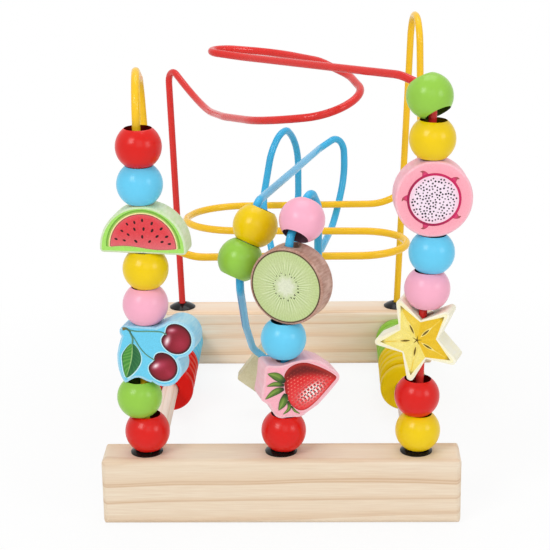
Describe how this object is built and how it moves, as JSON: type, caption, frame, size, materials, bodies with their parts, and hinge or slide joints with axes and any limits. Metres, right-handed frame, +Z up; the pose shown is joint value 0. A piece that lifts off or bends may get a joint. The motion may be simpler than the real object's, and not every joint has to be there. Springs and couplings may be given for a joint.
{
  "type": "wooden bead maze",
  "caption": "Wooden bead maze: two pine beams carry looping painted wires threaded with round and fruit-shaped beads, and rods with sliding discs join the beams.",
  "frame": {"origin": "on the floor, midway between the two beams and midway along them", "axes": "+X along the beams to the right, +Y from the front beam to the rear beam, +Z up"},
  "size_m": [0.1985, 0.272, 0.2464],
  "materials": {
    "pine": "matt",
    "paint_red": "satin paint",
    "paint_green": "satin paint",
    "paint_pink": "satin paint",
    "paint_yellow": "satin paint",
    "paint_blue": "satin paint",
    "paint_khaki": "satin paint",
    "paint_cream": "satin paint",
    "paint_rose": "satin paint",
    "wire_red": "gloss",
    "wire_blue": "gloss",
    "wire_yellow": "gloss",
    "black_plastic": "gloss"
  },
  "bodies": {
    "frame": {"front_beam": "pine", "rear_beam": "pine", "left_rod": "pine", "right_rod": "pine", "wire_red": "wire_red", "wire_blue": "wire_blue", "wire_yellow": "wire_yellow", "grommets": "black_plastic"},
    "bead_l1_red": {"bead_l1_red": "paint_red"},
    "bead_l2_green": {"bead_l2_green": "paint_green"},
    "slab_cherry": {"slab_cherry": "paint_blue"},
    "bead_l3_pink": {"bead_l3_pink": "paint_pink"},
    "bead_l4_yellow": {"bead_l4_yellow": "paint_yellow"},
    "slab_melon": {"slab_melon": "paint_green"},
    "bead_c1_red": {"bead_c1_red": "paint_red"},
    "slab_strawberry": {"slab_strawberry": "paint_pink"},
    "bead_c2_blue": {"bead_c2_blue": "paint_blue"},
    "slab_kiwi": {"slab_kiwi": "paint_green"},
    "bead_c3_pink": {"bead_c3_pink": "paint_pink"},
    "bead_c4_yellow": {"bead_c4_yellow": "paint_yellow"},
    "bead_c5_green": {"bead_c5_green": "paint_green"},
    "slab_square": {"slab_square": "paint_khaki"},
    "bead_r1_yellow": {"bead_r1_yellow": "paint_yellow"},
    "bead_r2_red": {"bead_r2_red": "paint_red"},
    "slab_star": {"slab_star": "paint_cream"},
    "bead_r3_pink": {"bead_r3_pink": "paint_pink"},
    "bead_r4_blue": {"bead_r4_blue": "paint_blue"},
    "slab_dragon": {"slab_dragon": "paint_rose"},
    "bead_r5_yellow": {"bead_r5_yellow": "paint_yellow"},
    "bead_r6_green": {"bead_r6_green": "paint_green"},
    "bead_l5_blue": {"bead_l5_blue": "paint_blue"},
    "bead_l6_red": {"bead_l6_red": "paint_red"},
    "disc_l01": {"disc_l01": "paint_blue"},
    "disc_l02": {"disc_l02": "paint_blue"},
    "disc_l03": {"disc_l03": "paint_blue"},
    "disc_l04": {"disc_l04": "paint_blue"},
    "disc_l05": {"disc_l05": "paint_blue"},
    "disc_l06": {"disc_l06": "paint_red"},
    "disc_l07": {"disc_l07": "paint_red"},
    "disc_l08": {"disc_l08": "paint_red"},
    "disc_l09": {"disc_l09": "paint_red"},
    "disc_l10": {"disc_l10": "paint_red"},
    "disc_r01": {"disc_r01": "paint_green"},
    "disc_r02": {"disc_r02": "paint_green"},
    "disc_r03": {"disc_r03": "paint_green"},
    "disc_r04": {"disc_r04": "paint_green"},
    "disc_r05": {"disc_r05": "paint_green"},
    "disc_r06": {"disc_r06": "paint_yellow"},
    "disc_r07": {"disc_r07": "paint_yellow"},
    "disc_r08": {"disc_r08": "paint_yellow"},
    "disc_r09": {"disc_r09": "paint_yellow"},
    "disc_r10": {"disc_r10": "paint_yellow"}
  },
  "joints": [
    {"name": "bead_l1_red_spin", "type": "hinge", "parent": "frame", "child": "bead_l1_red", "pos_m": [-0.07271, -0.1225, 0.05034], "axis": [0.007, 0, 1], "continuous": true},
    {"name": "bead_l2_green_spin", "type": "hinge", "parent": "frame", "child": "bead_l2_green", "pos_m": [-0.07627, -0.1225, 0.07037], "axis": [0.007, 0, 1], "continuous": true},
    {"name": "slab_cherry_spin", "type": "hinge", "parent": "frame", "child": "slab_cherry", "pos_m": [-0.07309, -0.1225, 0.09709], "axis": [0.007, 0, 1], "continuous": true},
    {"name": "bead_l3_pink_spin", "type": "hinge", "parent": "frame", "child": "bead_l3_pink", "pos_m": [-0.07111, -0.1225, 0.12313], "axis": [0.007, 0, 1], "continuous": true},
    {"name": "bead_l4_yellow_spin", "type": "hinge", "parent": "frame", "child": "bead_l4_yellow", "pos_m": [-0.07027, -0.1225, 0.14312], "axis": [0.007, 0, 1], "continuous": true},
    {"name": "slab_melon_spin", "type": "hinge", "parent": "frame", "child": "slab_melon", "pos_m": [-0.07118, -0.1225, 0.15568], "axis": [0.007, 0, 1], "continuous": true},
    {"name": "bead_c1_red_spin", "type": "hinge", "parent": "frame", "child": "bead_c1_red", "pos_m": [0.0015, -0.1225, 0.05029], "axis": [0.0488, 0, 0.9988], "continuous": true},
    {"name": "slab_strawberry_spin", "type": "hinge", "parent": "frame", "child": "slab_strawberry", "pos_m": [0.00195, -0.1225, 0.07785], "axis": [0.0488, 0, 0.9988], "continuous": true},
    {"name": "bead_c2_blue_spin", "type": "hinge", "parent": "frame", "child": "bead_c2_blue", "pos_m": [0.0021, -0.1225, 0.10342], "axis": [0.0488, 0, 0.9988], "continuous": true},
    {"name": "slab_kiwi_spin", "type": "hinge", "parent": "frame", "child": "slab_kiwi", "pos_m": [0.00672, -0.1225, 0.13438], "axis": [0.0488, 0, 0.9988], "continuous": true},
    {"name": "bead_c3_pink_spin", "type": "hinge", "parent": "frame", "child": "bead_c3_pink", "pos_m": [0.0126, -0.1175, 0.1676], "axis": [0.3644, 0.5797, 0.7288], "continuous": true},
    {"name": "bead_c4_yellow_spin", "type": "hinge", "parent": "frame", "child": "bead_c4_yellow", "pos_m": [-0.013, -0.0965, 0.1587], "axis": [0.4123, 0.2363, 0.8799], "continuous": true},
    {"name": "bead_c5_green_spin", "type": "hinge", "parent": "frame", "child": "bead_c5_green", "pos_m": [-0.0213, -0.1012, 0.1411], "axis": [0.4123, 0.2363, 0.8799], "continuous": true},
    {"name": "slab_square_spin", "type": "hinge", "parent": "frame", "child": "slab_square", "pos_m": [-0.0102, 0.028, 0.0357], "axis": [0, 1, 0], "continuous": true},
    {"name": "bead_r1_yellow_spin", "type": "hinge", "parent": "frame", "child": "bead_r1_yellow", "pos_m": [0.07423, -0.1225, 0.05033], "axis": [0.0349, 0, 0.9994], "continuous": true},
    {"name": "bead_r2_red_spin", "type": "hinge", "parent": "frame", "child": "bead_r2_red", "pos_m": [0.07363, -0.1225, 0.07036], "axis": [0.0349, 0, 0.9994], "continuous": true},
    {"name": "slab_star_spin", "type": "hinge", "parent": "frame", "child": "slab_star", "pos_m": [0.07741, -0.1225, 0.1041], "axis": [0.0349, 0, 0.9994], "continuous": true},
    {"name": "bead_r3_pink_spin", "type": "hinge", "parent": "frame", "child": "bead_r3_pink", "pos_m": [0.07835, -0.1225, 0.13103], "axis": [0.0349, 0, 0.9994], "continuous": true},
    {"name": "bead_r4_blue_spin", "type": "hinge", "parent": "frame", "child": "bead_r4_blue", "pos_m": [0.08045, -0.1225, 0.15097], "axis": [0.0349, 0, 0.9994], "continuous": true},
    {"name": "slab_dragon_spin", "type": "hinge", "parent": "frame", "child": "slab_dragon", "pos_m": [0.08041, -0.1225, 0.18144], "axis": [0.0349, 0, 0.9994], "continuous": true},
    {"name": "bead_r5_yellow_spin", "type": "hinge", "parent": "frame", "child": "bead_r5_yellow", "pos_m": [0.08007, -0.1225, 0.21192], "axis": [0.0349, 0, 0.9994], "continuous": true},
    {"name": "bead_r6_green_spin", "type": "hinge", "parent": "frame", "child": "bead_r6_green", "pos_m": [0.0785, -0.1205, 0.2338], "axis": [-0.4082, 0.4082, 0.8165], "continuous": true},
    {"name": "bead_l5_blue_slide", "type": "slide", "parent": "frame", "child": "bead_l5_blue", "axis": [0.007, 0, 1], "range_m": [0, 0.008]},
    {"name": "bead_l6_red_slide", "type": "slide", "parent": "bead_l5_blue", "child": "bead_l6_red", "axis": [0.007, 0, 1], "range_m": [0, 0.008]},
    {"name": "disc_l01_slide", "type": "slide", "parent": "frame", "child": "disc_l01", "axis": [0, -1, 0], "range_m": [0, 0.0125]},
    {"name": "disc_l02_slide", "type": "slide", "parent": "disc_l01", "child": "disc_l02", "axis": [0, -1, 0], "range_m": [0, 0.0125]},
    {"name": "disc_l03_slide", "type": "slide", "parent": "disc_l02", "child": "disc_l03", "axis": [0, -1, 0], "range_m": [0, 0.0125]},
    {"name": "disc_l04_slide", "type": "slide", "parent": "disc_l03", "child": "disc_l04", "axis": [0, -1, 0], "range_m": [0, 0.0125]},
    {"name": "disc_l05_slide", "type": "slide", "parent": "disc_l04", "child": "disc_l05", "axis": [0, -1, 0], "range_m": [0, 0.0125]},
    {"name": "disc_l06_slide", "type": "slide", "parent": "disc_l05", "child": "disc_l06", "axis": [0, -1, 0], "range_m": [0, 0.0125]},
    {"name": "disc_l07_slide", "type": "slide", "parent": "disc_l06", "child": "disc_l07", "axis": [0, -1, 0], "range_m": [0, 0.0125]},
    {"name": "disc_l08_slide", "type": "slide", "parent": "disc_l07", "child": "disc_l08", "axis": [0, -1, 0], "range_m": [0, 0.0125]},
    {"name": "disc_l09_slide", "type": "slide", "parent": "disc_l08", "child": "disc_l09", "axis": [0, -1, 0], "range_m": [0, 0.0125]},
    {"name": "disc_l10_slide", "type": "slide", "parent": "disc_l09", "child": "disc_l10", "axis": [0, -1, 0], "range_m": [-0.005, 0.0125]},
    {"name": "disc_r01_slide", "type": "slide", "parent": "frame", "child": "disc_r01", "axis": [0, -1, 0], "range_m": [0, 0.0125]},
    {"name": "disc_r02_slide", "type": "slide", "parent": "disc_r01", "child": "disc_r02", "axis": [0, -1, 0], "range_m": [0, 0.0125]},
    {"name": "disc_r03_slide", "type": "slide", "parent": "disc_r02", "child": "disc_r03", "axis": [0, -1, 0], "range_m": [0, 0.0125]},
    {"name": "disc_r04_slide", "type": "slide", "parent": "disc_r03", "child": "disc_r04", "axis": [0, -1, 0], "range_m": [0, 0.0125]},
    {"name": "disc_r05_slide", "type": "slide", "parent": "disc_r04", "child": "disc_r05", "axis": [0, -1, 0], "range_m": [0, 0.0125]},
    {"name": "disc_r06_slide", "type": "slide", "parent": "disc_r05", "child": "disc_r06", "axis": [0, -1, 0], "range_m": [0, 0.0125]},
    {"name": "disc_r07_slide", "type": "slide", "parent": "disc_r06", "child": "disc_r07", "axis": [0, -1, 0], "range_m": [0, 0.0125]},
    {"name": "disc_r08_slide", "type": "slide", "parent": "disc_r07", "child": "disc_r08", "axis": [0, -1, 0], "range_m": [0, 0.0125]},
    {"name": "disc_r09_slide", "type": "slide", "parent": "disc_r08", "child": "disc_r09", "axis": [0, -1, 0], "range_m": [0, 0.0125]},
    {"name": "disc_r10_slide", "type": "slide", "parent": "disc_r09", "child": "disc_r10", "axis": [0, -1, 0], "range_m": [-0.005, 0.0125]}
  ]
}
